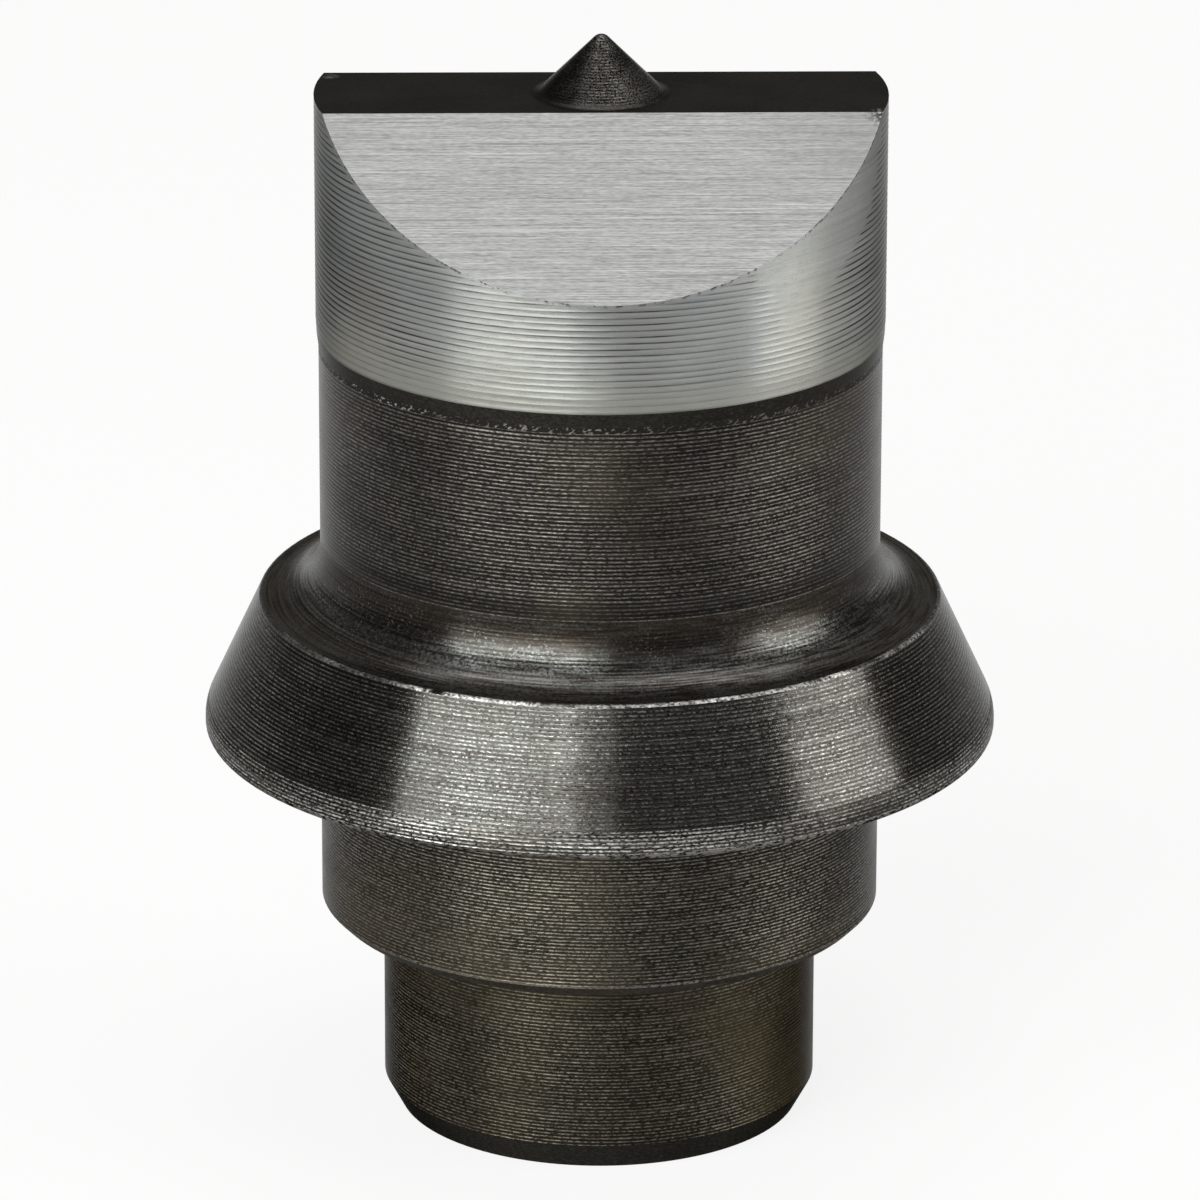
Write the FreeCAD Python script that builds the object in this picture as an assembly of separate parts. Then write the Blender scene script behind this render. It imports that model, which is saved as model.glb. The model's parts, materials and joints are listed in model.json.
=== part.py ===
"""Piercing punch, turned from one bar of tool steel.

It stands on its spigot. From the bottom up it has a spigot with a chamfered end, a shoulder, a collar
whose cone takes the clamping nut, a fillet, a neck, a relief, and the ground cutting land. The head is
cut to a roof by two sloping facets that leave a flat strip across it, with a pointed pip in the centre.

Millimetres and degrees. The origin is the centre of the spigot's end face, +Z runs along the axis to
the cutting head, and the flat strip runs along X.
"""
import FreeCAD, Part
import math
import os

V = FreeCAD.Vector

# Spigot
spigot_diameter = 21.64
spigot_length = 10.5
spigot_chamfer_length = 1.4
spigot_chamfer_depth = 0.76

# Shoulder
shoulder_diameter = 27.82
shoulder_length = 9.4
shoulder_chamfer = 0.5

# Collar, with at least the given flat ring left between its fillet and the top edge of its cone
collar_diameter = 39.3
collar_height = 6.9
rim_height = 0.95
cone_half_angle = 25.0
rim_blend_radius = 2.1
rim_lower_chamfer = 0.35
collar_fillet_radius = 2.75
collar_top_flat = 0.2

# Neck, the relief above it and the run-out of the ground land
neck_undercut = 0.13
neck_length = 12.95
relief_length = 0.7
runout_length = 0.75
runout_depth = 0.04

# Cutting land and roof
land_diameter = 28.0
land_length = 11.2
strip_width = 7.2
roof_slope = 32.0

# Centre pip
pip_base_diameter = 6.3
pip_cone_angle = 90.0
pip_tip_radius = 0.5
pip_root_radius = 0.75

# Small 45 degree flat in the inner corners under the shoulder and under the collar
inner_corner_flat = 0.3

# How far the cutters of the roof reach past the head
cutter_margin = 2.0


def corner_arc(before, corner, after, radius):
    """Start, crown and end of the arc that rounds a corner of the profile."""
    to_before = (before - corner).normalize()
    to_after = (after - corner).normalize()
    half_angle = to_before.getAngle(to_after) / 2
    reach = radius / math.tan(half_angle)
    bisector = (to_before + to_after).normalize()
    crown = corner + bisector * (radius / math.sin(half_angle) - radius)
    return corner + to_before * reach, crown, corner + to_after * reach


def ball_tip(before, apex, radius):
    """Start, middle and end of the arc that rounds a cone's apex on the axis, up to the axis."""
    mirrored = V(-before.x, 0, before.z)
    start, crown, _ = corner_arc(before, apex, mirrored, radius)
    centre = crown - V(0, 0, radius)
    middle = centre + ((start - centre) + (crown - centre)).normalize() * radius
    return start, middle, crown


def turned_profile(corners, tip_radius):
    """Half section as a face in the XZ plane.

    Each corner is its distance from the axis, its height and its rounding. The first and last
    corners lie on the axis, and the last is rounded to a ball.
    """
    places = [V(distance, 0, height) for distance, height, rounding in corners]
    edges = []
    pen = places[0]
    for index in range(1, len(corners) - 1):
        rounding = corners[index][2]
        if rounding > 0:
            start, crown, end = corner_arc(places[index - 1], places[index], places[index + 1], rounding)
            edges.append(Part.makeLine(pen, start))
            edges.append(Part.Arc(start, crown, end).toShape())
            pen = end
        else:
            edges.append(Part.makeLine(pen, places[index]))
            pen = places[index]
    start, middle, top = ball_tip(places[-2], places[-1], tip_radius)
    edges.append(Part.makeLine(pen, start))
    edges.append(Part.Arc(start, middle, top).toShape())
    edges.append(Part.makeLine(top, places[0]))
    return Part.Face(Part.Wire(edges))


def turned_blank():
    """The turned body with its pip, before the roof is cut, and the height of its flat top."""
    spigot_r = spigot_diameter / 2
    shoulder_r = shoulder_diameter / 2
    collar_r = collar_diameter / 2
    land_r = land_diameter / 2
    neck_r = land_r - neck_undercut
    pip_r = pip_base_diameter / 2

    cone_height = collar_height - rim_height
    collar_top_r = collar_r - cone_height * math.tan(math.radians(cone_half_angle))
    collar_fillet = min(collar_fillet_radius, collar_top_r - collar_top_flat - neck_r)
    pip_height = pip_r / math.tan(math.radians(pip_cone_angle / 2))

    shoulder_z = spigot_length
    collar_z = shoulder_z + shoulder_length
    collar_top_z = collar_z + collar_height
    relief_z = collar_top_z + neck_length
    runout_z = relief_z + relief_length
    land_z = runout_z + runout_length
    top_z = land_z + land_length

    profile = turned_profile([
        (0, 0, 0),
        (spigot_r - spigot_chamfer_depth, 0, 0),
        (spigot_r, spigot_chamfer_length, 0),
        (spigot_r, shoulder_z - inner_corner_flat, 0),
        (spigot_r + inner_corner_flat, shoulder_z, 0),
        (shoulder_r - shoulder_chamfer, shoulder_z, 0),
        (shoulder_r, shoulder_z + shoulder_chamfer, 0),
        (shoulder_r, collar_z - inner_corner_flat, 0),
        (shoulder_r + inner_corner_flat, collar_z, 0),
        (collar_r - rim_lower_chamfer, collar_z, 0),
        (collar_r, collar_z + rim_lower_chamfer, 0),
        (collar_r, collar_z + rim_height, rim_blend_radius),
        (collar_top_r, collar_top_z, 0),
        (neck_r, collar_top_z, collar_fillet),
        (neck_r, relief_z, 0),
        (land_r - runout_depth, runout_z, 0),
        (land_r, land_z, 0),
        (land_r, top_z, 0),
        (pip_r, top_z, pip_root_radius),
        (0, top_z + pip_height, 0),
    ], pip_tip_radius)
    return profile.revolve(V(0, 0, 0), V(0, 0, 1), 360), top_z


def facet_cutter(top_z, side):
    """Wedge that leaves one facet of the roof; side is +1 or -1 along Y."""
    edge_y = strip_width / 2
    reach = land_diameter / 2 + cutter_margin
    fall = (reach - edge_y) * math.tan(math.radians(roof_slope))
    section = [
        (edge_y, top_z),
        (reach, top_z - fall),
        (reach, top_z + cutter_margin),
        (edge_y, top_z + cutter_margin),
        (edge_y, top_z),
    ]
    outline = Part.makePolygon([V(-reach, side * y, z) for y, z in section])
    return Part.Face(outline).extrude(V(2 * reach, 0, 0))


def piercing_punch():
    """The whole punch as one solid."""
    blank, top_z = turned_blank()
    return blank.cut([facet_cutter(top_z, 1), facet_cutter(top_z, -1)])


os.makedirs("parts", exist_ok=True)
piercing_punch().exportStep("parts/piercing_punch.step")
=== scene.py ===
"""Looks of the piercing punch: turned and ground surfaces, their finishes, the studio and the camera.

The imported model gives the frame. One piece stands for the whole punch: a surface of revolution with real
turning grooves, whose head is cut to the roof of the solid. Metres, with the spigot's end face at z = 0.
"""
import bpy
import json
import math
import numpy as np
from functools import reduce
from mathutils import Matrix, Vector


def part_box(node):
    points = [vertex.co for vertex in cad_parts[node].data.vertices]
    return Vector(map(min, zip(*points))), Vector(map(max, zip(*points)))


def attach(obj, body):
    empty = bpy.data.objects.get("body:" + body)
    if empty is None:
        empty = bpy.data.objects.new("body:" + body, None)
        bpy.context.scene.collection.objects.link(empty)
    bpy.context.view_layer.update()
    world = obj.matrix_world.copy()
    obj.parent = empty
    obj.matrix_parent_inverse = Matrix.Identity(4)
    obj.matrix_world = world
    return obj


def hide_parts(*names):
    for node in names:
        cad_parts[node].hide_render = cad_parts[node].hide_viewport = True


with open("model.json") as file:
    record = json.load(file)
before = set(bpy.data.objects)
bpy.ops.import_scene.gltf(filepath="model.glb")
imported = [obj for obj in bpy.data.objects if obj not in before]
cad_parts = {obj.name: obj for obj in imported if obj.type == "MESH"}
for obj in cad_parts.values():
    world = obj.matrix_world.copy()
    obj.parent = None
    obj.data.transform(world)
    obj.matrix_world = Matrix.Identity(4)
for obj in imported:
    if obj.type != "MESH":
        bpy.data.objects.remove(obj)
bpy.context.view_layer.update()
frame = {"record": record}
mounts = {mount["name"]: mount for mount in frame["record"]["mounts"]}

MM = 0.001

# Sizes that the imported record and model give
land_r = mounts["cutting_land"]["dims"]["r_mm"] * MM
shoulder_r = mounts["shoulder"]["dims"]["r_mm"] * MM
spigot_r = mounts["spigot"]["dims"]["r_mm"] * MM
collar_z = mounts["collar_seat"]["pos_m"][2]
collar_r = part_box("piercing_punch")[1].x

# Spigot and shoulder
spigot_length = 10.5 * MM
spigot_chamfer_length = 1.4 * MM
spigot_chamfer_depth = 0.76 * MM
shoulder_chamfer = 0.5 * MM
inner_corner_flat = 0.3 * MM

# Collar
collar_height = 6.9 * MM
rim_height = 0.95 * MM
cone_half_angle = math.radians(25)
rim_blend_radius = 2.1 * MM
rim_edge_radius = 0.3 * MM
collar_fillet_radius = 2.75 * MM

# Neck, relief and run-out of the land
neck_r = land_r - 0.13 * MM
neck_length = 12.95 * MM
relief_length = 0.7 * MM
runout_length = 0.75 * MM
runout_depth = 0.04 * MM

# Cutting land, roof and pip
land_length = 11.2 * MM
half_strip = 3.6 * MM
roof_slope = math.radians(32)
pip_base_r = 3.15 * MM
pip_slope = math.radians(45)
pip_tip_radius = 0.5 * MM
pip_root_radius = 0.75 * MM

collar_top_z = collar_z + collar_height
collar_top_r = collar_r - (collar_height - rim_height) * math.tan(cone_half_angle)
relief_z = collar_top_z + neck_length
runout_z = relief_z + relief_length
land_z = runout_z + runout_length
top_z = land_z + land_length

# Turning marks: feed a turn and depth of the groove
dark_feed = 0.2 * MM
shoulder_feed = 0.182 * MM
rim_feed = 0.19 * MM
land_feed = 0.31 * MM
pip_feed = 0.12 * MM
dark_depth = 0.016 * MM
cone_depth = 0.011 * MM
fillet_depth = 0.006 * MM
rim_depth = 0.020 * MM
land_depth = 0.016 * MM

# How the grooves' depth and the land's rings waver: waves in one round, how far they turn from row to row,
# and how much they change the depth and the height
sway_waves = (2, 5, 9)
phase_step = 0.3
depth_sway = 0.22
land_wander = 0.012 * MM

# Where the rings fade: towards the roof's edge, at the land's lower end, and at the foot of the neck
edge_fade = 0.28 * MM
land_foot = 0.6 * MM
land_foot_share = 0.75
faint_rings = 0.4 * MM
faint_reach = 1.3 * MM
faint_share = 0.5

# Worn and odd places of the profile
worn_edge_radius = 0.22 * MM
shoulder_wear = 0.1 * MM
flecked_height = 0.3 * MM
land_edge_line = 0.07 * MM

# The ground wedge under the roof's edge, where the rings are worn away: angles round the axis, how far it
# reaches down there, and over what more height the rings come back below it
wedge_angles = np.radians([-59, -51, -38, -23, -15.5])
wedge_depths = np.array([0, 2.9, 3.2, 3.0, 0]) * MM
wedge_fades = np.array([0, 2.0, 0.6, 0.0, 0]) * MM

# Mesh: rows in each groove, steps of an arc, rows of the pip's cone, and columns in a quarter round the
# axis, with the strip's corner on a column
dark_rows = 3
land_rows = 4
arc_steps = 6
pip_rows = 12
strip_corner = math.asin(half_strip / land_r)
strip_columns = 5
roof_columns = 25

# Allowances for rounding: in a number of turns, in a sine, and between points that are made one
turn_allowance = 1e-6
least_sine = 1e-9
weld_distance = 1e-8

random = np.random.default_rng(7)


def column_angles():
    """Angles round the axis: a quarter has even steps up to the strip's corner and even steps after it."""
    near = np.linspace(0, strip_corner, strip_columns + 1)[:-1]
    far = np.linspace(strip_corner, math.pi / 2, roof_columns + 1)
    quarter = np.concatenate([near, far])
    half = np.concatenate([quarter, math.pi - quarter[-2::-1]])
    return np.concatenate([half, math.pi + half[1:-1]])


def run_rows(r, z, length, feed, depth):
    """Rows of one turned run along a wall.

    Each row has its radius, its height, the number of the groove that starts or goes on there, its nearness
    to a crest, and how far the groove pulls it in along the wall's normal. A groove's section is a parabola:
    depth times one minus the square of the distance from its middle, with the crests left at the wall.
    """
    share = np.linspace(0, 1, len(r))
    turns = share * max(1, round(length / feed))
    whole_turns = np.floor(turns + turn_allowance)
    across = 2 * (turns - whole_turns) - 1
    groove = depth * (1 - across ** 2)
    slope_r = np.gradient(r, share)
    slope_z = np.gradient(z, share)
    norm = np.hypot(slope_r, slope_z)
    groove_number = whole_turns if depth > 0 else 0 * turns
    crest = across ** 2 if depth > 0 else np.ones_like(share)
    return dict(r=r, z=z, crest=crest, groove_number=groove_number.astype(int),
                pull_r=-groove * slope_z / norm, pull_z=groove * slope_r / norm)


def groove_rows(length, feed):
    """Rows that a grooved run needs: enough for every groove."""
    rows = land_rows if feed == land_feed else dark_rows
    return max(1, round(length / feed)) * rows + 1


def straight(start, end, feed=dark_feed, depth=0.0):
    """Rows of a straight wall between two points of the profile: its two ends, or those of its grooves."""
    length = math.dist(start, end)
    share = np.linspace(0, 1, groove_rows(length, feed) if depth else 2)
    r = start[0] + (end[0] - start[0]) * share
    z = start[1] + (end[1] - start[1]) * share
    return run_rows(r, z, length, feed, depth)


def arc(centre, radius, from_angle, to_angle, feed=dark_feed, depth=0.0, steps=arc_steps):
    """Rows of a rounded stretch: the circle round the centre from one angle of the section to another."""
    length = radius * abs(math.radians(to_angle - from_angle))
    count = groove_rows(length, feed) if depth else steps + 1
    angle = np.radians(np.linspace(from_angle, to_angle, count))
    r = centre[0] + radius * np.cos(angle)
    z = centre[1] + radius * np.sin(angle)
    return run_rows(r, z, length, feed, depth)


def roof_height(angle):
    """Height of the roof's edge on the land: flat along the strip, and falling with the distance from it."""
    return top_z - math.tan(roof_slope) * np.maximum(0, land_r * np.abs(np.sin(angle)) - half_strip)


def turned_runs():
    """The turned surface from the end face's centre up to the land's edge, run by run with its finish."""
    cone_angle = math.degrees(cone_half_angle)
    rim_reach = rim_blend_radius * math.tan(cone_half_angle / 2)
    rim_start_z = collar_z + rim_edge_radius
    blend_z = collar_z + rim_height - rim_reach
    cone_start = (collar_r - rim_reach * math.sin(cone_half_angle),
                  collar_z + rim_height + rim_reach * math.cos(cone_half_angle))
    worn_r = collar_top_r - worn_edge_radius * math.tan((math.pi / 2 - cone_half_angle) / 2)
    worn_z = collar_top_z - worn_edge_radius
    cone_end = (worn_r + worn_edge_radius * math.cos(cone_half_angle),
                worn_z + worn_edge_radius * math.sin(cone_half_angle))
    fillet_r = neck_r + collar_fillet_radius
    fillet_z = collar_top_z + collar_fillet_radius
    neck_start_z = fillet_z + faint_rings
    wear_z = spigot_length + shoulder_chamfer + shoulder_wear
    fleck_z = relief_z - flecked_height
    line_z = runout_z + land_edge_line
    line_r = land_r - runout_depth * (1 - land_edge_line / runout_length)
    return [
        ("end_face", straight((0, 0), (spigot_r - spigot_chamfer_depth, 0))),
        ("black_chamfer", straight((spigot_r - spigot_chamfer_depth, 0), (spigot_r, spigot_chamfer_length))),
        ("turned_spigot", straight((spigot_r, spigot_chamfer_length),
                                   (spigot_r, spigot_length - inner_corner_flat),
                                   shoulder_feed, dark_depth)),
        ("tool_corner", straight((spigot_r, spigot_length - inner_corner_flat),
                                 (spigot_r + inner_corner_flat, spigot_length))),
        ("end_face", straight((spigot_r + inner_corner_flat, spigot_length),
                              (shoulder_r - shoulder_chamfer, spigot_length))),
        ("smooth_chamfer", straight((shoulder_r - shoulder_chamfer, spigot_length),
                                    (shoulder_r, spigot_length + shoulder_chamfer))),
        ("worn_ring", straight((shoulder_r, spigot_length + shoulder_chamfer), (shoulder_r, wear_z))),
        ("turned_shoulder", straight((shoulder_r, wear_z), (shoulder_r, collar_z - inner_corner_flat),
                                     shoulder_feed, dark_depth)),
        ("tool_corner", straight((shoulder_r, collar_z - inner_corner_flat),
                                 (shoulder_r + inner_corner_flat, collar_z))),
        ("end_face", straight((shoulder_r + inner_corner_flat, collar_z),
                              (collar_r - rim_edge_radius, collar_z))),
        ("burred_edge", arc((collar_r - rim_edge_radius, rim_start_z), rim_edge_radius, -90, 0)),
        ("turned_rim", straight((collar_r, rim_start_z), (collar_r, blend_z), rim_feed, rim_depth)),
        ("turned_rim", arc((collar_r - rim_blend_radius, blend_z), rim_blend_radius, 0, cone_angle,
                           rim_feed, rim_depth)),
        ("turned_cone", straight(cone_start, cone_end, dark_feed, cone_depth)),
        ("worn_edge", arc((worn_r, worn_z), worn_edge_radius, cone_angle, 90, steps=3)),
        ("grainy_fillet", straight((worn_r, collar_top_z), (fillet_r, collar_top_z))),
        ("grainy_fillet", arc((fillet_r, fillet_z), collar_fillet_radius, -90, -180,
                              dark_feed, fillet_depth)),
        ("grainy_fillet", straight((neck_r, fillet_z), (neck_r, neck_start_z), dark_feed, fillet_depth)),
        ("turned_neck", straight((neck_r, neck_start_z), (neck_r, fleck_z), dark_feed, dark_depth)),
        ("flecked_ring", straight((neck_r, fleck_z), (neck_r, relief_z))),
        ("smooth_relief", straight((neck_r, relief_z), (land_r - runout_depth, runout_z))),
        ("ground_land", straight((land_r - runout_depth, runout_z), (line_r, line_z))),
        ("ground_land", straight((line_r, line_z), (land_r, land_z), land_feed, land_depth)),
        ("ground_land", straight((land_r, land_z), (land_r, top_z), land_feed, land_depth)),
    ]


def turned_rings(angles):
    """Points and crests of the turned surface, ring by ring, and the bands between the rings.

    A band has its finish and the number of its groove, and there is none between two runs. A row's point is
    its wall's point less the groove. The groove's depth wavers slowly round the axis, as the sum of three
    sines, and so does the height of the land's rings. Rows above the roof's edge come down to it, and the
    land's rings fade out towards it and over the ground wedge, and fade a little towards the land's lower
    end. The neck's rings fade towards the fillet.
    """
    points, crests, bands = [], [], []
    edge = roof_height(angles)[None, :]
    turn = (angles[None, :] + math.pi) % (2 * math.pi) - math.pi
    wedge = np.interp(turn, wedge_angles, wedge_depths)
    fade_height = edge_fade + np.interp(turn, wedge_angles, wedge_fades)
    for finish, rows in turned_runs():
        phase = random.uniform(0, 2 * math.pi, (len(sway_waves), 1, 1))
        steps = random.normal(0, phase_step, (len(sway_waves), len(rows["r"]), 1))
        phase = phase + np.cumsum(steps, 1)
        sway = sum(np.sin(waves * angles + start) for waves, start in zip(sway_waves, phase))
        z = rows["z"][:, None] + 0 * edge
        depth = 1 + depth_sway * sway
        crest = rows["crest"][:, None] + 0 * edge
        if finish == "ground_land":
            inside = np.clip((z - land_z) / land_foot, 0, 1)
            z = np.minimum(z + land_wander * sway * inside, edge)
            fade = np.clip((edge - z - wedge) / fade_height, 0, 1)
            fade = fade * (land_foot_share + (1 - land_foot_share) * inside)
            depth, crest = depth * fade, crest * fade
        if finish == "turned_neck":
            fade = np.clip((z - z[0]) / faint_reach, faint_share, 1)
            depth, crest = depth * fade, crest * fade
        r = rows["r"][:, None] + rows["pull_r"][:, None] * depth
        z = z + rows["pull_z"][:, None] * depth
        points.append(np.stack([r * np.cos(angles), r * np.sin(angles), z], -1))
        crests.append(crest)
        bands += [(finish, number) for number in rows["groove_number"][:-1]] + [None]
    return points, crests, bands


def roof_rings(angles):
    """Rings of the roof, from the land's edge to the tip of the pip, and the bands between them.

    On each column the facet runs straight from the land's edge to the strip's edge, which lies at half the
    strip's width over the sine of the angle. The pip is a cone between two arcs, its root and its tip.
    """
    strip_r = np.minimum(land_r, half_strip / np.maximum(np.abs(np.sin(angles)), least_sine))
    slope = math.degrees(pip_slope)
    root_r = pip_base_r + pip_root_radius * math.tan(pip_slope / 2)
    root = arc((root_r, top_z + pip_root_radius), pip_root_radius, -90, -90 - slope)
    ball_z = top_z + pip_base_r - pip_tip_radius * math.sqrt(2)
    ball = arc((0, ball_z), pip_tip_radius, slope, 90)
    rings = [
        ("ground_facet", land_r * np.ones_like(angles), roof_height(angles)),
        ("black_strip", strip_r, top_z),
        ("black_strip", (strip_r + root["r"][0]) / 2, top_z),
    ]
    share = np.linspace(0, 1, pip_rows + 1)[:-1]
    cone_r = root["r"][-1] + (ball["r"][0] - root["r"][-1]) * share
    cone_z = root["z"][-1] + (ball["z"][0] - root["z"][-1]) * share
    pip_r = np.concatenate([root["r"][:-1], cone_r, ball["r"]])
    pip_z = np.concatenate([root["z"][:-1], cone_z, ball["z"]])
    rings += [("pip", r, z) for r, z in zip(pip_r, pip_z)]
    x, y = np.cos(angles), np.sin(angles)
    points = [np.stack([r * x, r * y, z + 0 * angles], -1)[None] for _, r, z in rings]
    return points, [(finish, 0) for finish, _, _ in rings[:-1]]


def welded_mesh(name, points, crests, triangles, zones):
    """A mesh of the triangles and their zones.

    Points at one place are made one, and the triangles that this closes up are left out.
    """
    spots, first, spot_of = np.unique(np.round(points / weld_distance).astype(np.int64), axis=0,
                                      return_index=True, return_inverse=True)
    triangles = spot_of.reshape(-1)[triangles]
    a, b, c = triangles.T
    whole = (a != b) & (b != c) & (c != a)
    triangles, zones = triangles[whole], zones[whole]
    mesh = bpy.data.meshes.new(name)
    mesh.vertices.add(len(spots))
    mesh.vertices.foreach_set("co", points[first].astype(np.float32).ravel())
    mesh.loops.add(triangles.size)
    mesh.loops.foreach_set("vertex_index", triangles.astype(np.int32).ravel())
    mesh.polygons.add(len(triangles))
    mesh.polygons.foreach_set("loop_start", np.arange(0, triangles.size, 3, dtype=np.int32))
    mesh.polygons.foreach_set("use_smooth", np.ones(len(triangles), bool))
    mesh.update(calc_edges=True)
    mesh.validate()
    crest = mesh.attributes.new("crest", "FLOAT", "POINT")
    crest.data.foreach_set("value", crests[first].astype(np.float32))
    return mesh, zones


def mark_borders_sharp(mesh, zones):
    """Edges between faces of different zones are sharp, as the crests between grooves are.

    Such an edge is one whose lowest and highest zone differ. The others are smooth.
    """
    edge_of_loop = np.empty(len(mesh.loops), np.int32)
    mesh.loops.foreach_get("edge_index", edge_of_loop)
    zone_of_loop = np.repeat(zones, 3)
    lowest = np.full(len(mesh.edges), zones.max() + 1)
    highest = np.full(len(mesh.edges), -1)
    np.minimum.at(lowest, edge_of_loop, zone_of_loop)
    np.maximum.at(highest, edge_of_loop, zone_of_loop)
    sharp = mesh.attributes.new("sharp_edge", "BOOLEAN", "EDGE")
    sharp.data.foreach_set("value", lowest != highest)


def placed(name, data):
    """A new object of the scene, made of a mesh, a lamp or a camera."""
    thing = bpy.data.objects.new(name, data)
    bpy.context.scene.collection.objects.link(thing)
    return thing


def punch_piece(materials):
    """The whole punch as one closed mesh, with a material for each finish.

    A face's zone is its finish's place among the materials, plus the number of materials times the number of
    its groove.
    """
    angles = column_angles()
    columns = len(angles)
    body_points, body_crests, body_bands = turned_rings(angles)
    roof_points, roof_bands = roof_rings(angles)
    points = np.concatenate(body_points + roof_points)
    crests = np.concatenate(body_crests + [np.ones((len(roof_points), columns))])
    bands = body_bands + roof_bands
    kept = [i for i, band in enumerate(bands) if band is not None]
    ring = np.arange(points.shape[0] * columns).reshape(points.shape[0], columns)
    low, high = ring[kept], ring[[i + 1 for i in kept]]
    low_next, high_next = np.roll(low, -1, 1), np.roll(high, -1, 1)
    right_half = np.stack([low, low_next, high_next], -1)
    left_half = np.stack([low, high_next, high], -1)
    triangles = np.stack([right_half, left_half], 2)
    kinds = list(materials)
    band_zones = np.array([kinds.index(bands[i][0]) + len(kinds) * bands[i][1] for i in kept])
    zones = np.repeat(band_zones, columns * 2)
    mesh, zones = welded_mesh("punch", points.reshape(-1, 3), crests.ravel(),
                              triangles.reshape(-1, 3), zones)
    mark_borders_sharp(mesh, zones)
    mesh.polygons.foreach_set("material_index", (zones % len(kinds)).astype(np.int32))
    for material in materials.values():
        mesh.materials.append(material)
    return placed("punch", mesh)


def at(x, y, z, base=0.0):
    """A place on the object in metres, from millimetres. The height is above the base, in metres."""
    return x * MM, y * MM, base + z * MM


def mark(x, y, z, reach, factor, base=0.0):
    """A place on the object, how far round it something changes, in millimetres, and the factor there."""
    return at(x, y, z, base), reach * MM, factor


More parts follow.
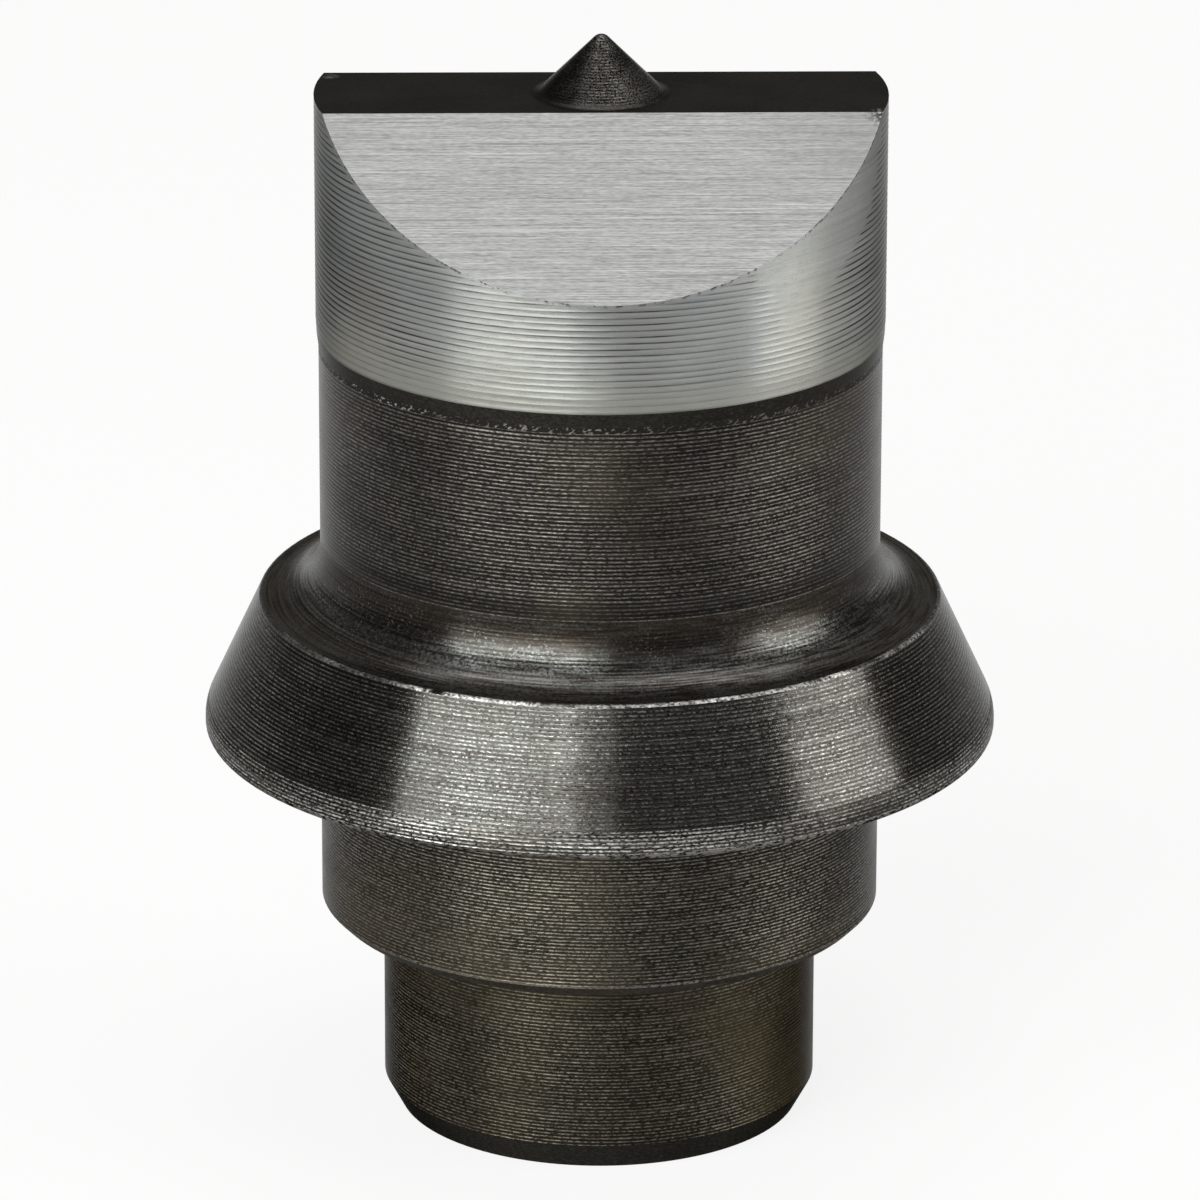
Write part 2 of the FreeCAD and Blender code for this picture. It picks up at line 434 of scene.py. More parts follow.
class Finish:
    """A material and short ways to add its nodes."""

    def __init__(self, name):
        self.material = bpy.data.materials.new(name)
        self.material.use_nodes = True
        self.nodes = self.material.node_tree.nodes
        self.links = self.material.node_tree.links
        self.shader = self.nodes["Principled BSDF"]
        self.place = self.nodes.new("ShaderNodeTexCoord").outputs["Object"]
        self.even("Metallic", 1.0)

    def even(self, socket, value):
        """Sets a number or a colour of the shader that is the same all over the surface."""
        self.shader.inputs[socket].default_value = value

    def noise(self, scale, detail=4.0, roughness=0.55, seed=0.0, slant=0.0):
        """Noise from 0 to 1 with its own scale along X, Y and Z. A slant turns it in the XZ plane."""
        place = self.place
        if slant:
            turn = self.nodes.new("ShaderNodeVectorRotate")
            turn.rotation_type = "Y_AXIS"
            turn.inputs["Angle"].default_value = slant
            self.links.new(place, turn.inputs["Vector"])
            place = turn.outputs["Vector"]
        mapping = self.nodes.new("ShaderNodeMapping")
        mapping.inputs["Location"].default_value = (seed, seed * 0.7, seed * 1.3)
        mapping.inputs["Scale"].default_value = scale
        self.links.new(place, mapping.inputs["Vector"])
        texture = self.nodes.new("ShaderNodeTexNoise")
        texture.inputs["Scale"].default_value = 1.0
        texture.inputs["Detail"].default_value = detail
        texture.inputs["Roughness"].default_value = roughness
        self.links.new(mapping.outputs["Vector"], texture.inputs["Vector"])
        return texture.outputs["Fac"]

    def spread(self, value, low, high, to_low=0.0, to_high=1.0):
        """The stretch of a number from low to high, laid over another stretch."""
        node = self.nodes.new("ShaderNodeMapRange")
        sockets = ("From Min", "From Max", "To Min", "To Max")
        for socket, number in zip(sockets, (low, high, to_low, to_high)):
            node.inputs[socket].default_value = number
        self.links.new(value, node.inputs["Value"])
        return node.outputs["Result"]

    def swing(self, noise, to_low, to_high):
        """Noise laid over another stretch. It seldom leaves the stretch from 0.3 to 0.7."""
        return self.spread(noise, 0.3, 0.7, to_low, to_high)

    def reckon(self, operation, first, second=0.0):
        """One sum of two numbers, each a node's output or a plain number."""
        node = self.nodes.new("ShaderNodeMath")
        node.operation = operation
        for socket, value in zip(node.inputs, (first, second)):
            if isinstance(value, (int, float)):
                socket.default_value = value
            else:
                self.links.new(value, socket)
        return node.outputs["Value"]

    def chain(self, operation, numbers):
        """The same sum carried through the numbers from the first to the last."""
        return reduce(lambda first, second: self.reckon(operation, first, second), numbers)

    def times(self, *numbers):
        """The product of the numbers."""
        return self.chain("MULTIPLY", numbers)

    def plus(self, *numbers):
        """The sum of the numbers."""
        return self.chain("ADD", numbers)

    def minus(self, *numbers):
        """The first number less the others."""
        return self.chain("SUBTRACT", numbers)

    def blend(self, share, first, second):
        """A colour between two others, each a node's output or a plain colour."""
        node = self.nodes.new("ShaderNodeMix")
        node.data_type = "RGBA"
        self.links.new(share, node.inputs["Factor"])
        for socket, colour in zip(("A", "B"), (first, second)):
            inputs = [s for s in node.inputs if s.name == socket and s.type == "RGBA"][0]
            if isinstance(colour, tuple):
                inputs.default_value = (*colour, 1.0)
            else:
                self.links.new(colour, inputs)
        return [s for s in node.outputs if s.type == "RGBA"][0]

    def attribute(self, name):
        """A number that the mesh carries at each point."""
        node = self.nodes.new("ShaderNodeAttribute")
        node.attribute_name = name
        return node.outputs["Fac"]

    def coordinate(self, axis):
        """The place on the object along X, Y or Z."""
        node = self.nodes.new("ShaderNodeSeparateXYZ")
        self.links.new(self.place, node.inputs["Vector"])
        return node.outputs[axis]

    def along(self, axis, low, high, to_low, to_high, base=0.0):
        """A number that goes from one value to another between two places on an axis.

        The places are in millimetres from the base, which is in metres.
        """
        return self.spread(self.coordinate(axis), base + low * MM, base + high * MM, to_low, to_high)

    def turning_lines(self, scale):
        """Noise that runs in rings round the axis, on walls and flats alike, and changes slowly along them.

        It is read at the distance from the axis, the height, and a small share of the place along X and Y.
        """
        flat = self.nodes.new("ShaderNodeVectorMath")
        flat.operation = "MULTIPLY"
        flat.inputs[1].default_value = (1, 1, 0)
        self.links.new(self.place, flat.inputs[0])
        radius = self.nodes.new("ShaderNodeVectorMath")
        radius.operation = "LENGTH"
        self.links.new(flat.outputs["Vector"], radius.inputs[0])
        drift = self.times(self.plus(self.coordinate("X"), self.times(self.coordinate("Y"), 0.6)), 0.05)
        join = self.nodes.new("ShaderNodeCombineXYZ")
        self.links.new(radius.outputs["Value"], join.inputs["X"])
        self.links.new(drift, join.inputs["Y"])
        self.links.new(self.coordinate("Z"), join.inputs["Z"])
        texture = self.nodes.new("ShaderNodeTexNoise")
        texture.inputs["Scale"].default_value = scale
        texture.inputs["Detail"].default_value = 4.0
        self.links.new(join.outputs["Vector"], texture.inputs["Vector"])
        return texture.outputs["Fac"]

    def near(self, point, reach):
        """One at a point of the object and falling to zero at the reach from it."""
        node = self.nodes.new("ShaderNodeVectorMath")
        node.operation = "DISTANCE"
        self.links.new(self.place, node.inputs[0])
        node.inputs[1].default_value = point
        return self.spread(node.outputs["Value"], 0.0, reach, 1.0, 0.0)

    def marked(self, tone, marks):
        """The tone, times the factor of each mark at its place."""
        for place, reach, factor in marks:
            tone = self.times(tone, self.spread(self.near(place, reach), 0.0, 1.0, 1.0, factor))
        return tone

    def sum_near(self, marks):
        """The sum of the marks: each is its factor at its place, and zero from its reach on."""
        return self.plus(*[self.times(self.near(place, reach), factor) for place, reach, factor in marks])

    def stained(self, colour, stain_mark, stain):
        """The colour, with a stain at the mark. Its factor is the stain's share in the middle."""
        return self.blend(self.sum_near([stain_mark]), colour, stain)

    def brushed_round(self, amount):
        """Stretches the gloss across the turning marks, which run round the axis."""
        tangent = self.nodes.new("ShaderNodeTangent")
        tangent.direction_type = "RADIAL"
        tangent.axis = "Z"
        self.links.new(tangent.outputs["Tangent"], self.shader.inputs["Tangent"])
        self.even("Anisotropic", amount)
        self.even("Anisotropic Rotation", 0.25)

    def film(self, share, most):
        """A thin film of black oxide, which mirrors the lamps alike on dark and bright metal.

        Most of it lies where the share is one, and none where it is zero.
        """
        self.links.new(self.spread(share, 0.0, 1.0, 0.0, most), self.shader.inputs["Coat Weight"])
        self.even("Coat Roughness", 0.14)
        self.even("Coat IOR", 2.4)

    def edge_gloss(self, grey):
        """How much the metal mirrors at a grazing view."""
        self.even("Specular Tint", (grey, grey, grey, 1))

    def colour(self, value):
        self.links.new(value, self.shader.inputs["Base Color"])

    def roughness(self, value):
        self.links.new(value, self.shader.inputs["Roughness"])

    def bump(self, height, distance):
        """Raises the surface by the height times the distance, in metres."""
        node = self.nodes.new("ShaderNodeBump")
        node.inputs["Distance"].default_value = distance
        node.inputs["Strength"].default_value = 1.0
        self.links.new(height, node.inputs["Height"])
        self.links.new(node.outputs["Normal"], self.shader.inputs["Normal"])


def turned_steel(name, dark, light, tint, rough, glitter=0.7, dots=(5200, 5200, 15000), across=0.5,
                 edge_gloss=0.6, stain=0.4, line_from=0.12, level=0.55, film=0.0, marks=()):
    """Dark turned steel: bright crests and dark grooves, broken into dots, with slow clouds and stains.

    The tone is the crest's share of the groove, in part a painted highlight on the crests, times a glitter
    of fine noise, with a few brighter sparks on the crests and rings of uneven tone, and all of it times a
    slow cloud and the marks, which are painted highlights and painted shade. The glitter has the scale of
    the dots, the level as its middle and the glitter's share of it as its swing.
    """
    steel = Finish(name)
    # The crests' brightness is in part a painted highlight on the crests.
    crest = steel.spread(steel.attribute("crest"), line_from, 1.0)
    rings = steel.noise((60, 60, 5000), detail=5)
    glints = steel.noise(dots, detail=2, seed=3.1)
    sparks = steel.noise((5200, 5200, 10000), detail=1, seed=9.4)
    clouds = steel.noise((170, 170, 240), detail=4, seed=1.7)
    stains = steel.noise((95, 95, 130), detail=5, seed=7.7)
    tone = steel.spread(glints, 0.38, 0.64, level * (1 - glitter), level * (1 + glitter))
    tone = steel.plus(tone, steel.spread(sparks, 0.58, 0.68, 0.0, 0.8))
    tone = steel.plus(steel.times(tone, crest), steel.swing(rings, -0.08, 0.08))
    tone = steel.times(tone, steel.swing(clouds, 0.65, 1.35))
    colour = steel.blend(steel.marked(tone, marks), dark, light)
    steel.colour(steel.blend(steel.spread(stains, 0.48, 0.70, 0.0, stain), colour, tint))
    steel.roughness(steel.swing(glints, rough - 0.05, rough + 0.06))
    steel.bump(glints, 0.005 * MM)
    steel.brushed_round(across)
    steel.edge_gloss(edge_gloss)
    if film:
        steel.film(steel.spread(glints, 0.3, 0.6, 0.4, 1.0), film)
    return steel.material


def grainy_fillet():
    """The fillet above the collar and the collar's top: brown black with faint rings, pale grain and sparks.

    The tone is noise that runs round the axis, broken by fine noise, and falls up the fillet as painted
    shade, so that it is brightest low down, where the collar's top is browner; two marks paint more shade.
    Sparks lie in patches. The grain falls with the tone, and the sparks and the film fade up the fillet.
    """
    steel = Finish("grainy_fillet")
    crest = steel.spread(steel.attribute("crest"), 0.0, 1.0, 0.7, 1.0)
    lines = steel.turning_lines(9000.0)
    grain = steel.noise((6500, 6500, 9000), detail=2, seed=3.7)
    sparks = steel.noise((6500, 6500, 9000), detail=1, seed=9.1)
    patches = steel.noise((300, 300, 300), detail=4, seed=6.1)
    stains = steel.noise((140, 140, 140), detail=4, seed=2.2)
    # Painted shade: the share along Z darkens the upper fillet, so that its highlight sits low.
    tone = steel.times(steel.spread(lines, 0.36, 0.64, 0.05, 0.78), crest,
                       steel.spread(grain, 0.35, 0.65, 0.3, 1.4), steel.swing(patches, 0.6, 1.4),
                       steel.along("Z", 0.9, 1.9, 1.2, 0.16, base=collar_top_z))
    # Painted shade: two marks darken the fillet in front, between its highlights, and at the left.
    tone = steel.marked(tone, [mark(2.0, -15.3, 1, 3.4, 0.3, base=collar_top_z),
                               mark(-11.0, -9.9, 1, 5, 0.5, base=collar_top_z)])
    low = steel.along("Z", 0.1, 0.8, 1.0, 0.0, base=collar_top_z)
    tone = steel.plus(tone, steel.times(steel.spread(lines, 0.4, 0.65, 0.0, 0.7), low))
    sparkle = steel.times(steel.spread(sparks, 0.61, 0.68, 0.0, 0.5),
                          steel.spread(patches, 0.4, 0.6, 0.3, 1.2),
                          steel.along("Z", 1.6, 2.6, 1.0, 0.25, base=collar_top_z))
    tone = steel.plus(tone, sparkle)
    colour = steel.blend(tone, (0.0145, 0.0105, 0.0073), (0.31, 0.323, 0.312))
    colour = steel.blend(steel.times(low, 0.45), colour, (0.112, 0.084, 0.060))
    steel.colour(steel.blend(steel.spread(stains, 0.46, 0.68, 0.0, 0.3), colour, (0.036, 0.025, 0.018)))
    steel.roughness(steel.swing(grain, 0.24, 0.34))
    steel.bump(grain, 0.004 * MM)
    steel.brushed_round(0.6)
    steel.film(steel.along("Z", 1.2, 2.4, 1.0, 0.0, base=collar_top_z), 0.115)
    steel.edge_gloss(0.6)
    return steel.material


def worn_edge():
    """The cone's top edge, worn bright, with a nick.

    The tone is the product of patches, fine grain and the shares along Y and X, which paint a highlight in
    front and shade behind and at the left.
    """
    steel = Finish("worn_edge")
    patches = steel.noise((260, 260, 260), detail=5, seed=5.1)
    grain = steel.noise((5200, 5200, 5200), detail=2, seed=0.8)
    # Painted highlight in front and painted shade behind and at the left: the shares along Y and X.
    tone = steel.times(steel.spread(patches, 0.36, 0.58, 0.1, 1.0),
                       steel.spread(grain, 0.38, 0.56, 0.1, 1.0),
                       steel.along("Y", -9, -5, 1.0, 0.2), steel.along("X", -13, -9, 0.35, 1.0))
    colour = steel.blend(tone, (0.05, 0.047, 0.042), (1.0, 0.99, 0.95))
    nick = mark(-8.1, -14.8, 0, 0.55, 1.8, base=collar_top_z)
    steel.colour(steel.stained(colour, nick, (0.02, 0.019, 0.018)))
    steel.roughness(steel.swing(grain, 0.35, 0.5))
    steel.bump(grain, 0.04 * MM)
    return steel.material


def turned_pip():
    """The pip: near black, with painted shade at the left and a painted highlight at the right, faint rings
    up the axis, speckles and a brighter tip.

    The rings are the sine of the height over their feed. The root has an even dark tone.
    """
    steel = Finish("turned_pip")
    rings = steel.reckon("SINE", steel.times(steel.coordinate("Z"), 2 * math.pi / pip_feed))
    grain = steel.noise((11500, 11500, 15000), detail=3, seed=1.2)
    patches = steel.noise((900, 900, 1100), detail=3, seed=3.3)
    # Painted shade at the left and painted highlight at the right: the share along X.
    tone = steel.times(steel.spread(rings, -1.0, 1.0, 0.6, 1.0), steel.spread(grain, 0.40, 0.66, 0.0, 1.1),
                       steel.spread(patches, 0.35, 0.65, 0.45, 1.3), steel.along("X", -2.4, 2.0, 0.3, 1.5))
    brighter_tip = steel.along("Z", 2.3, 2.9, 0.0, 0.8, base=top_z)
    tone = steel.plus(tone, steel.times(brighter_tip, steel.spread(grain, 0.45, 0.6)))
    root = steel.along("Z", 0.3, 0.1, 0.0, 1.0, base=top_z)
    tone = steel.plus(steel.times(tone, steel.spread(root, 0.0, 1.0, 1.0, 0.3)), steel.times(root, 0.12))
    steel.colour(steel.blend(tone, (0.0085, 0.0076, 0.0064), (0.215, 0.206, 0.189)))
    steel.roughness(steel.swing(grain, 0.26, 0.38))
    steel.bump(rings, 0.003 * MM)
    steel.edge_gloss(0.6)
    return steel.material


def flecked_ring():
    """The last turn of the neck: dark, with a row of small slanted bright flecks where the tool left it."""
    steel = Finish("flecked_ring")
    flecks = steel.noise((4200, 4200, 8500), detail=1, seed=6.3, slant=0.45)
    patches = steel.noise((170, 170, 170), detail=3, seed=2.9)
    tone = steel.times(steel.spread(flecks, 0.56, 0.66), steel.spread(patches, 0.42, 0.60, 0.15, 1.0),
                       steel.along("X", -8, 8, 1.0, 0.35))
    steel.colour(steel.blend(tone, (0.018, 0.0165, 0.0145), (0.30, 0.285, 0.26)))
    steel.roughness(steel.spread(flecks, 0.4, 0.6, 0.4, 0.3))
    steel.bump(flecks, 0.012 * MM)
    steel.edge_gloss(0.6)
    return steel.material


def ground_land():
    """Bright ground steel: crisp dark ring lines, a little uneven, with blue, straw and brown stains and a
    painted highlight.

    A ring line is as dark as the crest is high, times slow noise and marks that paint the lines darker at
    both sides and fainter in the left highlight; the lines are in part painted shade in the grooves. The
    tone is uneven rings less the lines and the painted shade, which is three darker marks less one painted
    highlight. The run-out is duller, and dark specks of burr follow the roof's edge, whose height is the
    top's less the roof's slope times the distance past the strip.
    """
    steel = Finish("ground_land")
    rings = steel.noise((40, 40, 7000), detail=6, roughness=0.7)
    breaks = steel.noise((420, 420, 3000), detail=3, seed=8.2)
    flecks = steel.noise((1500, 1500, 8000), detail=3, seed=2.3)
    specks = steel.noise((3800, 3800, 3800), detail=2, seed=4.8)
    stains = steel.noise((90, 90, 120), detail=3, seed=5.5)
    line = steel.times(steel.spread(steel.attribute("crest"), 0.46, 1.0),
                       steel.spread(breaks, 0.35, 0.62, 0.45, 1.0))
    # Painted light: the marks make the ring lines darker at both sides and fainter in the left highlight.
    line = steel.marked(line, [mark(-13.0, -5.0, 47, 9, 2.6), mark(-4.4, -13.3, 42, 5, 0.65),
                               mark(13.4, -4.0, 44, 7, 1.8)])
    # Painted shade at the left, at the right and in the middle of the front, less a painted highlight low on
    # the right.
    painted_shade_less_highlight = steel.minus(steel.sum_near([mark(-13.0, -6.0, 46, 10, 0.45), mark(13.6, -3.5, 46, 9, 0.3),
                                       mark(0.0, -14.0, 46, 5, 0.3)]),
                       steel.sum_near([mark(7.0, -12.1, 42.8, 5, 0.4)]))
    tone = steel.minus(steel.swing(rings, 0.7, 1.0), painted_shade_less_highlight, line)
    colour = steel.blend(tone, (0.046, 0.047, 0.046), (0.37, 0.376, 0.357))
    colour = steel.blend(steel.spread(stains, 0.55, 0.75, 0.0, 0.4), colour, (0.20, 0.225, 0.24))
    colour = steel.stained(colour, mark(4.2, -13.3, 46.3, 2.0, 0.4), (0.21, 0.235, 0.265))
    colour = steel.blend(steel.spread(stains, 0.45, 0.25, 0.0, 0.4), colour, (0.33, 0.315, 0.265))
    # Painted highlight: a pale, straw-tinted patch low on the right, where the right-hand light falls.
    colour = steel.stained(colour, mark(9.8, -10.0, 44.0, 3.5, 0.4), (0.37, 0.36, 0.315))
    colour = steel.stained(colour, mark(-11.4, -8.2, 44.5, 2.4, 0.35), (0.16, 0.137, 0.115))
    colour = steel.blend(steel.along("Z", 0.5, 2.4, 0.5, 0.0, base=runout_z), colour, (0.22, 0.218, 0.19))
    past_strip = steel.minus(steel.reckon("ABSOLUTE", steel.coordinate("Y")), half_strip)
    fall = steel.times(steel.reckon("MAXIMUM", past_strip), math.tan(roof_slope))
    under_edge = steel.minus(top_z, fall, steel.coordinate("Z"))
    burr = steel.times(steel.spread(under_edge, 0.0, 0.18 * MM, 1.0, 0.0), steel.spread(specks, 0.51, 0.57))
    steel.colour(steel.blend(burr, colour, (0.03, 0.03, 0.028)))
    steel.roughness(steel.swing(flecks, 0.25, 0.35))
    steel.bump(steel.plus(rings, steel.times(flecks, 0.5)), 0.003 * MM)
    steel.brushed_round(0.8)
    steel.edge_gloss(0.38)
    return steel.material


def ground_facet():
    """Ground slope of the roof: light grey, with fine streaks along the strip and a nick at one corner.

    The tone is the sum of long streaks, shorter bands and grain, each with its share, with a few bright and
    dark single scratches, and painted shade towards both ends of the facet.
    """
    steel = Finish("ground_facet")
    streaks = steel.noise((60, 14000, 14000), detail=0)
    bands = steel.noise((420, 15000, 15000), detail=1, seed=4.4)
    grain = steel.noise((2600, 17000, 17000), detail=1, seed=2.6)
    scratches = steel.noise((70, 12000, 12000), detail=0, seed=8.8)
    specks = steel.noise((5000, 5000, 5000), detail=2, seed=4.8)
    tone = steel.plus(steel.times(streaks, 0.27), steel.times(bands, 0.36), steel.times(grain, 0.37))
    tone = steel.spread(tone, 0.35, 0.65, 0.0, 0.9)
    tone = steel.plus(tone, steel.spread(scratches, 0.68, 0.76, 0.0, 0.3))
    tone = steel.minus(tone, steel.spread(scratches, 0.32, 0.24, 0.0, 0.3))
    # Painted shade: the facet is darker towards both ends.
    tone = steel.marked(tone, [mark(13, -5, 0, 7, 0.6, base=top_z), mark(-13, -5, 0, 4, 0.8, base=top_z)])
    colour = steel.blend(tone, (0.163, 0.165, 0.164), (0.397, 0.400, 0.394))
    nick = steel.times(steel.near(at(13.7, -3.7, 0, top_z), 1.1 * MM),
                       steel.spread(specks, 0.43, 0.5, 0.0, 1.4))
    steel.colour(steel.blend(nick, colour, (0.03, 0.03, 0.028)))
    steel.roughness(steel.swing(streaks, 0.30, 0.40))
    steel.bump(streaks, 0.003 * MM)
    return steel.material


def black_strip():
    """Blackened flat of the head: smooth and matt, browner in places, with a pale mark and a nick."""
    steel = Finish("black_strip")
    cloud = steel.noise((300, 300, 300), detail=5)
    grain = steel.noise((4000, 4000, 4000), detail=3, seed=1.9)
    colour = steel.blend(steel.spread(cloud, 0.35, 0.65), (0.0052, 0.0049, 0.004), (0.0095, 0.0086, 0.007))
    pale = steel.times(steel.near(at(-13.2, 2.9, 0, top_z), 0.5 * MM), steel.spread(grain, 0.4, 0.6))
    colour = steel.blend(pale, colour, (0.16, 0.155, 0.15))
    nick = steel.times(steel.near(at(13.5, -3.5, 0, top_z), 0.7 * MM), steel.spread(grain, 0.5, 0.6))
    steel.colour(steel.blend(nick, colour, (0.20, 0.19, 0.17)))
    steel.roughness(steel.swing(grain, 0.45, 0.6))
    steel.bump(grain, 0.002 * MM)
    steel.even("Metallic", 0.0)
    steel.even("Specular IOR Level", 0.1)
    return steel.material


# Painted highlights and painted shade of the turned surfaces: each mark lightens or darkens the tone round
# its place
spigot_painted_light = [mark(9.3, -5.5, 5, 6, 0.5), mark(-4.5, -9.8, 7.5, 3, 1.3), mark(0.0, -10.8, 10.0, 3.5, 0.5),
                mark(-5.5, -9.3, 3.2, 3.5, 0.7)]
burr_painted_light = [mark(-8.4, -17.7, 0, 6, 0.4, base=collar_z), mark(6.4, -18.5, 0, 6, 1.8, base=collar_z)]
rim_painted_light = [mark(12.6, -15.0, 1, 9, 0.15, base=collar_z), mark(-5.4, -18.9, 0, 4, 0.4, base=collar_z),
             mark(-5.9, -18.4, 21.5, 1.8, 1.7), mark(5.6, -18.5, 21.3, 2.5, 0.55),
             mark(5.4, -18.9, 0, 3.5, 2.0, base=collar_z)]
cone_painted_light = [mark(-5.9, -18.2, 21.6, 3.2, 1.8), mark(0.3, -18.9, 22, 3.5, 0.7),
              mark(-9.4, -16.6, 21.4, 3, 0.55), mark(5.6, -18.4, 21.6, 3, 0.75),
              mark(7.5, -15.1, 26.2, 2.5, 2.2)]
neck_painted_light = [mark(7.0, -12.0, 34, 7, 1.35), mark(-0.8, -13.9, 35, 4, 0.8), mark(-2.0, -13.7, 29.5, 4, 0.7)]

# The materials in the order of the piece's slots. A turned steel has the colours of its grooves, its crests
# and its stains, then its roughness and its glitter
MATERIALS = {
    "end_face": turned_steel(
        "end_face", (0.015, 0.014, 0.012), (0.09, 0.083, 0.075), (0.04, 0.028, 0.02), 0.4),
    # Painted shade: the spigot's lower chamfer faces the floor and is made near black, darker than the steel
    # round it.
    "black_chamfer": turned_steel(
        "black_chamfer", (0.0095, 0.009, 0.0081), (0.031, 0.0293, 0.0265), (0.024, 0.021, 0.016), 0.6, 0.4,
        edge_gloss=0.2),
    # Painted shade: the shoulder's lower chamfer faces down and is made darker, for the shade under the
    # shoulder.
    "smooth_chamfer": turned_steel(
        "smooth_chamfer", (0.017, 0.0157, 0.0135), (0.058, 0.054, 0.047), (0.05, 0.042, 0.032), 0.5, 0.5,
        edge_gloss=0.4),
    "turned_spigot": turned_steel(
        "turned_spigot", (0.012, 0.0105, 0.008), (0.17, 0.152, 0.122), (0.046, 0.037, 0.021), 0.33, 1.0,
        edge_gloss=0.43, stain=0.6, marks=spigot_painted_light),
    # Painted shade: the inner corners are darker than the walls beside them, for the shade in the corners.
    "tool_corner": turned_steel(
        "tool_corner", (0.012, 0.0105, 0.008), (0.085, 0.075, 0.058), (0.045, 0.036, 0.022), 0.4, 0.5,
        edge_gloss=0.3),
    "worn_ring": turned_steel(
        "worn_ring", (0.022, 0.0205, 0.018), (0.16, 0.152, 0.135), (0.09, 0.074, 0.052), 0.4, 1.2,
        stain=0.8),
    "burred_edge": turned_steel(
        "burred_edge", (0.014, 0.013, 0.0115), (0.17, 0.165, 0.152), (0.04, 0.034, 0.026), 0.4, 1.3,
        dots=(3000, 3000, 6000), edge_gloss=0.4, stain=0.8, marks=burr_painted_light),
    "turned_shoulder": turned_steel(
        "turned_shoulder", (0.011, 0.0098, 0.008), (0.212, 0.2, 0.168), (0.075, 0.060, 0.040), 0.32, 1.1,
        stain=0.5),
    "turned_rim": turned_steel(
        "turned_rim", (0.019, 0.0176, 0.0152), (0.57, 0.56, 0.53), (0.13, 0.115, 0.092), 0.33, 1.1,
        dots=(5500, 5500, 11000), edge_gloss=0.5, line_from=0.05, marks=rim_painted_light),
    "turned_cone": turned_steel(
        "turned_cone", (0.0145, 0.0107, 0.0074), (0.308, 0.32, 0.305), (0.05, 0.043, 0.034), 0.24, 0.9,
        dots=(6200, 6200, 12000), across=0.7, edge_gloss=0.5, stain=0.12, line_from=0.1, level=0.29,
        film=0.165, marks=cone_painted_light),
    "worn_edge": worn_edge(),
    "grainy_fillet": grainy_fillet(),
    "turned_neck": turned_steel(
        "turned_neck", (0.012, 0.011, 0.0097), (0.187, 0.175, 0.155), (0.072, 0.058, 0.042), 0.31, 0.85,
        edge_gloss=0.7, marks=neck_painted_light),
    "flecked_ring": flecked_ring(),
    "smooth_relief": turned_steel(
        "smooth_relief", (0.006, 0.0054, 0.0046), (0.032, 0.0295, 0.0255), (0.027, 0.021, 0.016), 0.36, 0.4),
    "ground_land": ground_land(),
    "ground_facet": ground_facet(),
    "black_strip": black_strip(),
    "pip": turned_pip(),
}

punch = punch_piece(MATERIALS)
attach(punch, "root")
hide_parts("piercing_punch")


def direction(azimuth, elevation):
    """From the punch towards angles in degrees: round from the front, plus to the right, and up."""
    side, lift = math.radians(azimuth), math.radians(elevation)
    return Vector((math.sin(side) * math.cos(lift), -math.cos(side) * math.cos(lift), math.sin(lift)))


# Camera, fitted to the photograph
aim = Vector((0, 0, 26.2 * MM))
camera_distance = 429.3 * MM
camera_roll = 0.0024
camera = placed("camera", bpy.data.cameras.new("camera"))
camera.data.lens = 259.3
camera.data.sensor_width = 36
camera.data.clip_start = 0.01
camera.data.clip_end = 10
away = direction(-1.1, 19.42)
upright = away.to_track_quat("Z", "Y").to_matrix()
camera.rotation_euler = (upright @ Matrix.Rotation(camera_roll, 3, "Z")).to_euler()
camera.location = aim + away * camera_distance
bpy.context.scene.camera = camera


# Floor and lamps
floor_half_width = 3.0
lamp_distance = 0.9
cool_light = (0.97, 1.0, 0.98)
warm_light = (1.0, 0.99, 0.965)


def pale_paper():
    """Pale matt paper.

    What looks at it or mirrors it sees mostly plain white and a small share of the lit paper, so that the
    background is near white and keeps the shadow.
    """
    paper = Finish("pale_paper")
    paper.even("Metallic", 0.0)
    paper.even("Base Color", (0.86, 0.86, 0.855, 1))
    paper.even("Roughness", 0.9)
    paper.even("Specular IOR Level", 0.1)
    path = paper.nodes.new("ShaderNodeLightPath").outputs
    seen = paper.plus(path["Is Camera Ray"], path["Is Glossy Ray"], path["Is Transmission Ray"])
    white = paper.nodes.new("ShaderNodeEmission")
    white.inputs["Strength"].default_value = 1.0
    mix = paper.nodes.new("ShaderNodeMixShader")
    paper.links.new(paper.spread(seen, 0.0, 1.0, 0.0, 0.85), mix.inputs[0])
    paper.links.new(paper.shader.outputs[0], mix.inputs[1])
    paper.links.new(white.outputs[0], mix.inputs[2])
    paper.links.new(mix.outputs[0], paper.nodes["Material Output"].inputs["Surface"])
    return paper.material


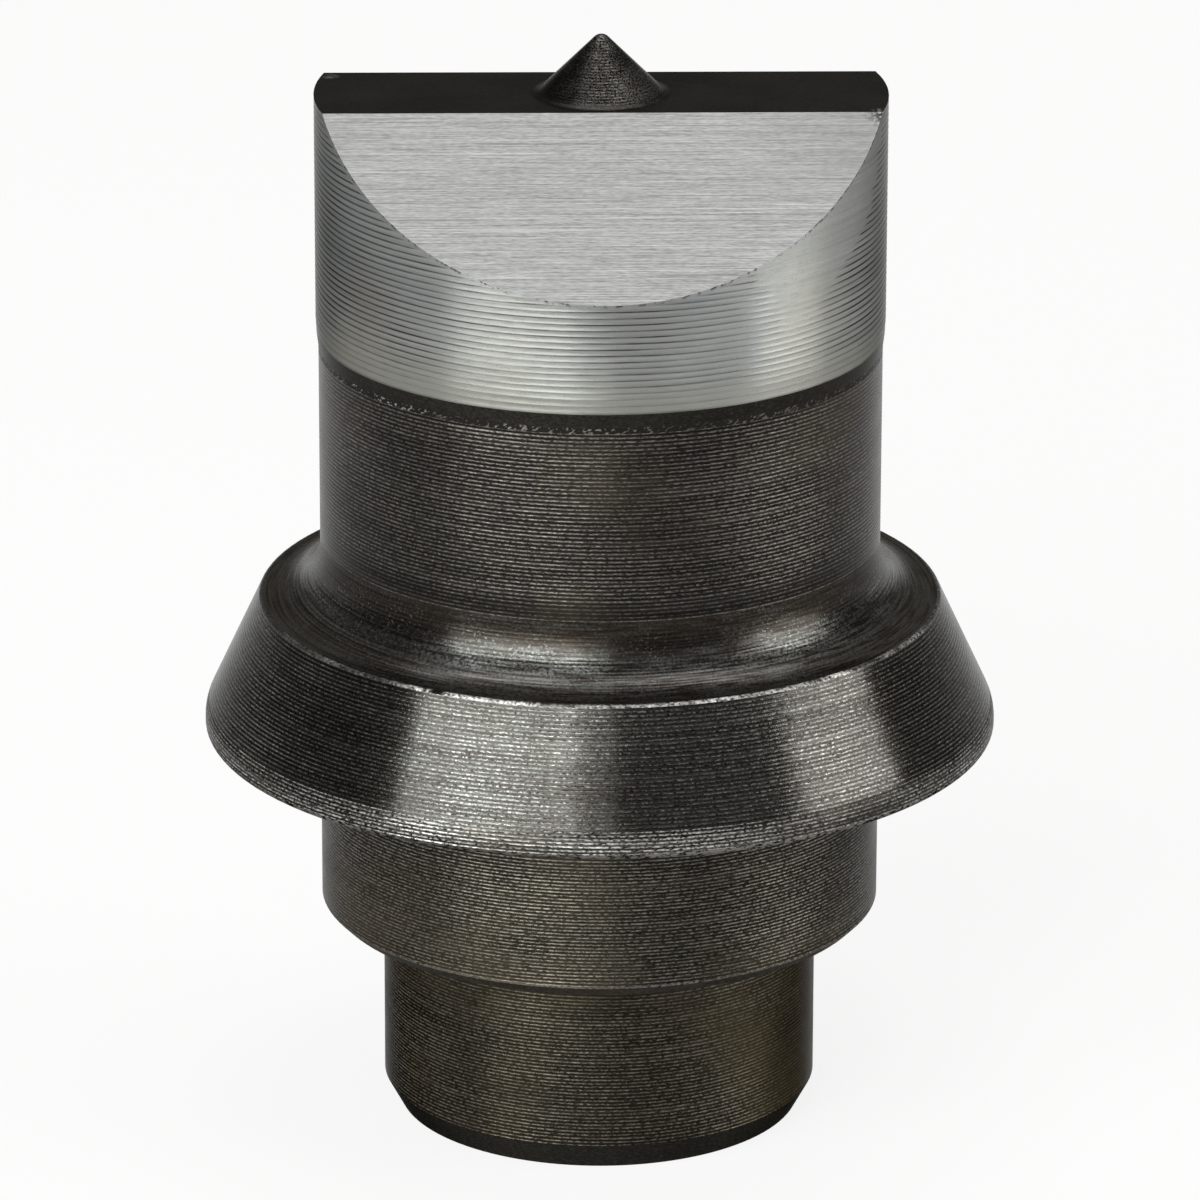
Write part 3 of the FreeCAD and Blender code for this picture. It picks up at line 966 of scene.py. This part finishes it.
def floor_plane(half_width):
    """A level square on which the punch stands."""
    corners = [(-half_width, -half_width, 0), (half_width, -half_width, 0),
               (half_width, half_width, 0), (-half_width, half_width, 0)]
    mesh = bpy.data.meshes.new("floor")
    mesh.from_pydata(corners, [], [(0, 1, 2, 3)])
    mesh.materials.append(pale_paper())
    placed("floor", mesh)


def soft_box(name, azimuth, elevation, width, height, radiance, colour=(1, 1, 1)):
    """A rectangular lamp that faces the punch, at angles in degrees as the camera's are."""
    lamp = bpy.data.lights.new(name, "AREA")
    lamp.shape = "RECTANGLE"
    lamp.size = width
    lamp.size_y = height
    lamp.energy = radiance * math.pi * width * height
    lamp.color = colour
    box = placed(name, lamp)
    towards = direction(azimuth, elevation)
    box.location = aim + towards * lamp_distance
    box.rotation_euler = towards.to_track_quat("Z", "Y").to_euler()
    box.visible_camera = False


floor_plane(floor_half_width)
soft_box("left_box", -36, 22, 0.84, 0.7, 5.4, cool_light)
soft_box("left_wing", -5.5, 22, 0.26, 0.7, 2.0, cool_light)
soft_box("right_box", 78, 18, 0.52, 0.6, 3.9, warm_light)
soft_box("front_box", 32, 34, 0.7, 0.4, 0.4)
soft_box("top_box", 175, 80, 0.8, 0.7, 1.9)

# World: pale up to a little above the horizon and dim over that, as in a studio with a low backdrop. The
# height of a direction is its share of straight up
backdrop_top = 0.075
dim_from = 0.085
backdrop_strength = 0.5
dim_strength = 0.14
world = bpy.data.worlds.new("studio")
world.use_nodes = True
bpy.context.scene.world = world
world_nodes, world_links = world.node_tree.nodes, world.node_tree.links
background = world_nodes["Background"]
background.inputs["Color"].default_value = (1, 0.95, 0.885, 1)
sky = world_nodes.new("ShaderNodeTexCoord").outputs["Generated"]
split = world_nodes.new("ShaderNodeSeparateXYZ")
world_links.new(sky, split.inputs["Vector"])
strength = world_nodes.new("ShaderNodeMapRange")
strength.inputs["From Min"].default_value = backdrop_top
strength.inputs["From Max"].default_value = dim_from
strength.inputs["To Min"].default_value = backdrop_strength
strength.inputs["To Max"].default_value = dim_strength
world_links.new(split.outputs["Z"], strength.inputs["Value"])
world_links.new(strength.outputs["Result"], background.inputs["Strength"])

bpy.context.scene.view_settings.view_transform = "Standard"
